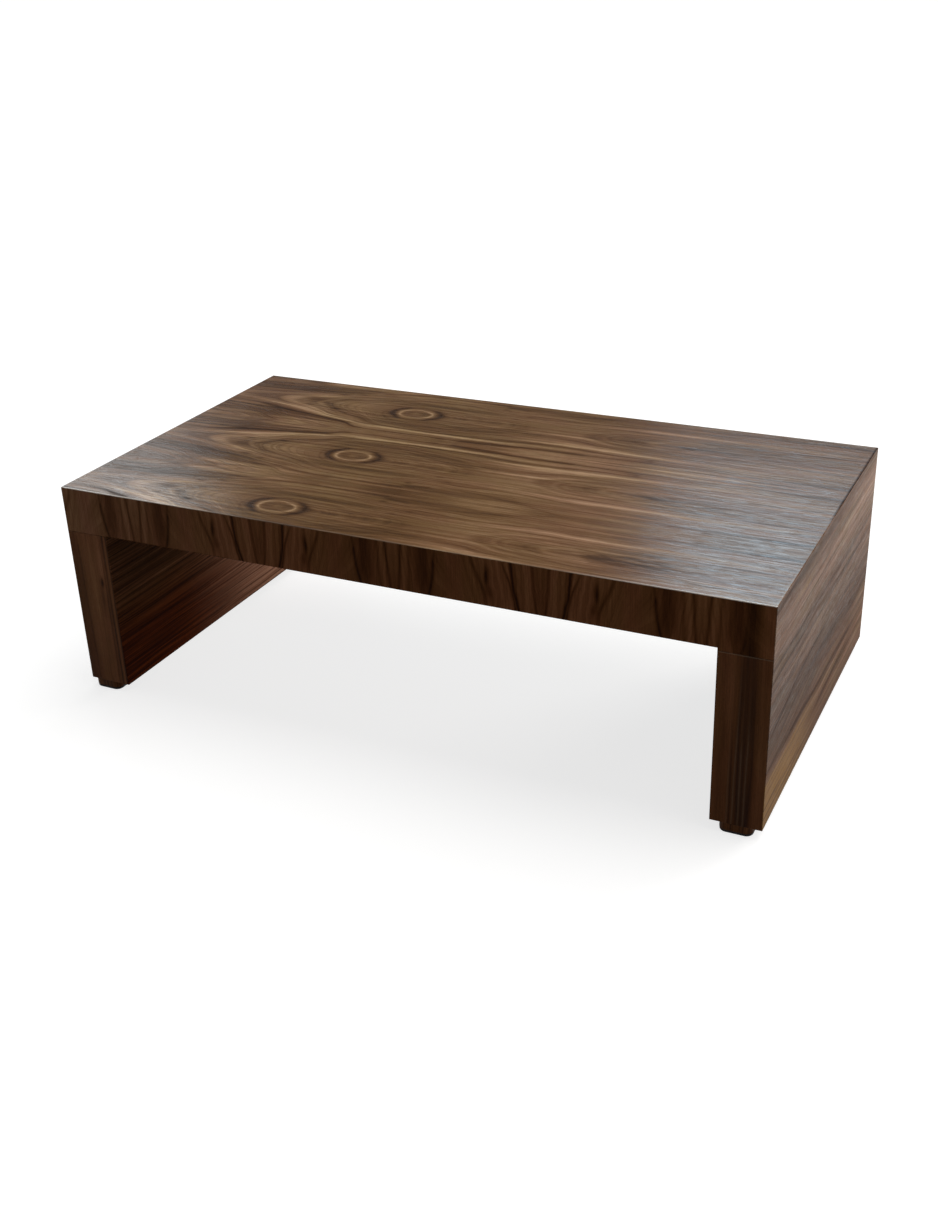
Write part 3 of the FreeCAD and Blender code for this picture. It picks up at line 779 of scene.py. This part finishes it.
def felt():
    """Charcoal felt: matted fibres and a few paler hairs."""
    graph = material_graph("felt")
    mat = graph.noise((graph.x / 0.9, graph.y / 0.9, graph.z / 0.9), detail=4.0, roughness=0.7)
    hairs = graph.noise((graph.x / 0.3, graph.y / 3.0, graph.z / 0.5), detail=2.0).step(0.62, 0.72)
    colour = graph.ramp(mat, [(0.3, srgb(22, 21, 21)), (0.7, srgb(58, 55, 53))])
    colour = graph.mix(hairs * 0.6, colour, srgb(112, 106, 101))
    return graph.surface(colour, 0.95, mat, 0.5, Sheen_Weight=0.3, Specular_IOR_Level=0.2)


def zinc():
    """Zinc-plated steel: bright, faintly yellow-blue in patches, with fine turning marks."""
    graph = material_graph("zinc")
    patches = graph.noise((graph.x / 2.5, graph.y / 2.5, graph.z / 2.5), detail=3.0)
    turning = graph.noise((graph.z / 0.15, patches), detail=1.0)
    colour = graph.ramp(patches, [(0.35, srgb(168, 172, 184)), (0.65, srgb(196, 192, 174))])
    roughness = patches * 0.25 + 0.22 + (turning - 0.5) * 0.2
    return graph.surface(colour, roughness, turning, 0.05, Metallic=1.0)


def board():
    """Fibreboard: fine matted fibres, with scattered dark shives."""
    graph = material_graph("board")
    mat = graph.noise((graph.x / 1.6, graph.y / 1.6, graph.z / 0.8), detail=4.0, roughness=0.7)
    cloud = graph.noise((graph.x / 60, graph.y / 60, graph.z / 60), detail=2.0)
    shives = graph.noise((graph.x / 1.1, graph.y / 3.5, graph.z / 1.1), detail=1.0).step(0.70, 0.78)
    colour = graph.ramp(mat * 0.7 + cloud * 0.3, [(0.35, srgb(132, 104, 76)), (0.65, srgb(176, 148, 114))])
    colour = graph.mix(shives * 0.7, colour, srgb(84, 60, 42))
    return graph.surface(colour, 0.85, mat, 0.12, Specular_IOR_Level=0.2)


def timber(name, stops, axis, pitch, flecks):
    """Planed solid timber along one axis, with growth bands and short dark flecks."""
    graph = material_graph(name)
    along = getattr(graph, axis)
    first, second = (getattr(graph, other) for other in "xyz" if other != axis)
    bend = (graph.noise((along / 160, first / 40, second / 40), detail=2.0) - 0.5) * 16
    growth = graph.noise(((first + second * 0.5 + bend) / pitch, along / 600), detail=4.0, roughness=0.6)
    fibre = graph.noise((first / 0.8, second / 0.8, along / 30), detail=2.0)
    fleck = graph.noise((first / 0.7, second / 0.7, along / 4.5), detail=1.0).step(0.64, 0.72)
    level = growth * 0.7 + fibre * 0.3 - fleck * flecks
    colour = graph.ramp(level, stops)
    return graph.surface(colour, fibre * 0.2 + 0.5, growth + fibre, 0.1, Specular_IOR_Level=0.3)


POPLAR = [(0.30, srgb(158, 136, 92)), (0.50, srgb(196, 174, 128)), (0.70, srgb(216, 196, 152))]
BEECH = [(0.30, srgb(150, 108, 78)), (0.50, srgb(196, 152, 114)), (0.70, srgb(214, 174, 136))]


def dress():
    """Gives every piece of the table its material: the first below whose words are in its name."""
    poplar_long = timber("poplar_lengthwise", POPLAR, "x", 7.0, 0.05)
    poplar_deep = timber("poplar_crosswise", POPLAR, "y", 7.0, 0.05)
    poplar_high = timber("poplar_upright", POPLAR, "z", 7.0, 0.05)
    finishes = [
        ("top_veneer", top_veneer()),
        ("front_apron", apron_veneer("walnut_front_apron", APRON_SEAM)),
        ("back_apron", apron_veneer("walnut_back_apron", APRON_SEAM + LEAF_WIDTH)),
        ("left_front_edge", leg_edge_veneer("left_front_edge_veneer", -1, left_leg_figure, 0.1, 0.56)),
        ("left_back_edge", leg_edge_veneer("left_back_edge_veneer", -1, right_leg_figure, 0.3, 0.50)),
        ("right_front_edge", leg_edge_veneer("right_front_edge_veneer", 1, right_leg_figure, 0.4, 0.50)),
        ("right_back_edge", leg_edge_veneer("right_back_edge_veneer", 1, left_leg_figure, 0.2, 0.50)),
        ("left_outer_veneer", end_veneer("walnut_left_end", 3.0)),
        ("right_outer_veneer", end_veneer("walnut_right_end", 0.0)),
        # Painted shade and light: the left slab's inner face is painted darker and redder than the right's,
        # deeper red low down, with painted daylight towards the back
        ("left_inner_veneer", straight_veneer("walnut_left_inside_painted_light_and_shade", "y", "z", 0.27, 1.0, DEEP_RED_SHADE, 1.0)),
        ("right_inner_veneer", straight_veneer("walnut_right_inside", "y", "z", 0.48, 5.0, RED_BROWN)),
        ("underside_veneer", straight_veneer("walnut_underside", "x", "y", 0.45, 9.0, RED_BROWN)),
        ("foot_pads", felt()),
        ("foot_screws", zinc()),
        ("foot_", foot_walnut()),
        ("_tenons", timber("beech", BEECH, "z", 9.0, 0.25)),
        ("_panel", board()),
        ("front_rail", poplar_long),
        ("back_rail", poplar_long),
        ("_stile", poplar_high),
        ("", poplar_deep),
    ]
    for name, node in NODES.items():
        material = next(material for part, material in finishes if part in name)
        for place in node.material_slots:
            place.material = material


# Camera, as the photograph was taken
CAMERA_PLACE = (1.0116, -2.0613, 1.2525)
CAMERA_YAW = 26.484
CAMERA_PITCH = 26.328
CAMERA_ROLL = -2.065
CAMERA_LENS = 55.335


def camera():
    """The camera, from its place, angles in degrees and lens in millimetres."""
    data = bpy.data.cameras.new("camera")
    data.sensor_fit = "HORIZONTAL"
    data.sensor_width = 36.0
    data.lens = CAMERA_LENS
    eye = bpy.data.objects.new("camera", data)
    bpy.context.scene.collection.objects.link(eye)
    turn = Matrix.Rotation(math.radians(CAMERA_YAW), 4, "Z")
    tilt = Matrix.Rotation(math.radians(90 - CAMERA_PITCH), 4, "X")
    roll = Matrix.Rotation(math.radians(CAMERA_ROLL), 4, "Z")
    eye.matrix_world = Matrix.Translation(CAMERA_PLACE) @ turn @ tilt @ roll
    bpy.context.scene.camera = eye


# The floor's glow and greys: as it is seen or mirrored, and as it lights the table
FLOOR_GLOW = 0.75
FLOOR_SEEN = (0.40, 0.40, 0.40, 1.0)
FLOOR_BOUNCE = (0.22, 0.22, 0.22, 1.0)

# The surroundings' strength: as they light the table, and as gloss mirrors them low down and high up
AMBIENT = 0.192
MIRRORED_LOW = 0.8
MIRRORED_HIGH = 0.024
LOW_EDGE = math.radians(8)
HIGH_EDGE = math.radians(13)

# How far a softbox's edges fade inwards, as the product of the shares on either side of a point
SOFT_EDGE = 0.22


def floor():
    """A wide pale floor that shows white where nothing shades it."""
    size = 60.0
    mesh = bpy.data.meshes.new("floor")
    corners = [(-size, -size, 0), (size, -size, 0), (size, size, 0), (-size, size, 0)]
    mesh.from_pydata(corners, [], [(0, 1, 2, 3)])
    ground = bpy.data.objects.new("floor", mesh)
    bpy.context.scene.collection.objects.link(ground)
    graph = material_graph("floor")
    own, mirrored = graph.rays()
    direct = own.most(mirrored)
    colour = graph.mix(direct, FLOOR_BOUNCE, FLOOR_SEEN)
    matte = graph.node("ShaderNodeBsdfDiffuse")
    graph.plug(colour, matte.inputs["Color"])
    glow = graph.node("ShaderNodeEmission")
    graph.plug(direct * FLOOR_GLOW, glow.inputs["Strength"])
    both = graph.node("ShaderNodeAddShader")
    graph.tree.links.new(matte.outputs[0], both.inputs[0])
    graph.tree.links.new(glow.outputs[0], both.inputs[1])
    output = graph.node("ShaderNodeOutputMaterial")
    graph.tree.links.new(both.outputs[0], output.inputs["Surface"])
    mesh.materials.append(graph.owner)


def softbox(name, place, target, size, power, colour, mirrored=True):
    """A rectangular lamp with soft edges. Unless mirrored, it lights the table but shows in no gloss."""
    data = bpy.data.lights.new(name, "AREA")
    data.shape = "RECTANGLE"
    data.size, data.size_y = size
    data.energy = power
    data.color = colour
    graph = Graph(data, scale=1.0)
    share = graph.node("ShaderNodeSeparateXYZ")
    graph.tree.links.new(graph.node("ShaderNodeNewGeometry").outputs["Parametric"], share.inputs[0])
    across, up = (Field(graph, share.outputs[axis]) for axis in "XY")
    strength = (across * (1 - across)).step(0.0, SOFT_EDGE) * (up * (1 - up)).step(0.0, SOFT_EDGE)
    glow = graph.node("ShaderNodeEmission")
    graph.plug(strength, glow.inputs["Strength"])
    output = graph.node("ShaderNodeOutputLight")
    graph.tree.links.new(glow.outputs[0], output.inputs["Surface"])
    lamp = bpy.data.objects.new(name, data)
    bpy.context.scene.collection.objects.link(lamp)
    lamp.visible_glossy = mirrored
    lamp.location = place
    lamp.rotation_euler = (Vector(target) - Vector(place)).to_track_quat("-Z", "Y").to_euler()


def lights():
    """Two windows mirrored in the lacquer, a larger one that fills from the back right, and daylight."""
    softbox("window_right", place=(-0.42, 4.09, 2.69), target=(0.45, -0.05, 0.38), size=(1.5, 1.55),
            power=26, colour=(0.58, 0.83, 1.0))
    softbox("window_left", place=(-3.33, 2.46, 2.32), target=(-0.55, -0.28, 0.38), size=(1.70, 1.45),
            power=25, colour=(0.84, 0.95, 1.0))
    softbox("window_side", place=(2.7, 3.6, 1.4), target=(-0.3, 0.2, 0.15), size=(2.0, 1.8),
            power=200, colour=(1.0, 0.97, 0.94), mirrored=False)
    data = bpy.data.lights.new("daylight", "SUN")
    data.energy = 2.0
    data.angle = math.radians(50)
    data.color = (1.0, 0.985, 0.96)
    lamp = bpy.data.objects.new("daylight", data)
    bpy.context.scene.collection.objects.link(lamp)
    towards_sun = Vector((0.25, 0.30, 0.92))
    lamp.rotation_euler = towards_sun.to_track_quat("Z", "Y").to_euler()


def backdrop():
    """An even grey light all round, which the camera sees as white, and gloss as pale only low down."""
    world = bpy.data.worlds.new("world")
    graph = Graph(world, "Generated", 1.0)
    low = graph.z.step(math.sin(LOW_EDGE), math.sin(HIGH_EDGE), (MIRRORED_LOW, MIRRORED_HIGH))
    own, mirrored = graph.rays()
    shade = graph.node("ShaderNodeBackground")
    graph.plug((1.0, 1.0, 1.0, 1.0), shade.inputs["Color"])
    graph.plug(own + mirrored * low + (1 - own - mirrored) * AMBIENT, shade.inputs["Strength"])
    output = graph.node("ShaderNodeOutputWorld")
    graph.tree.links.new(shade.outputs[0], output.inputs["Surface"])
    bpy.context.scene.world = world


dress()
floor()
lights()
backdrop()
camera()
bpy.context.scene.view_settings.view_transform = "Standard"
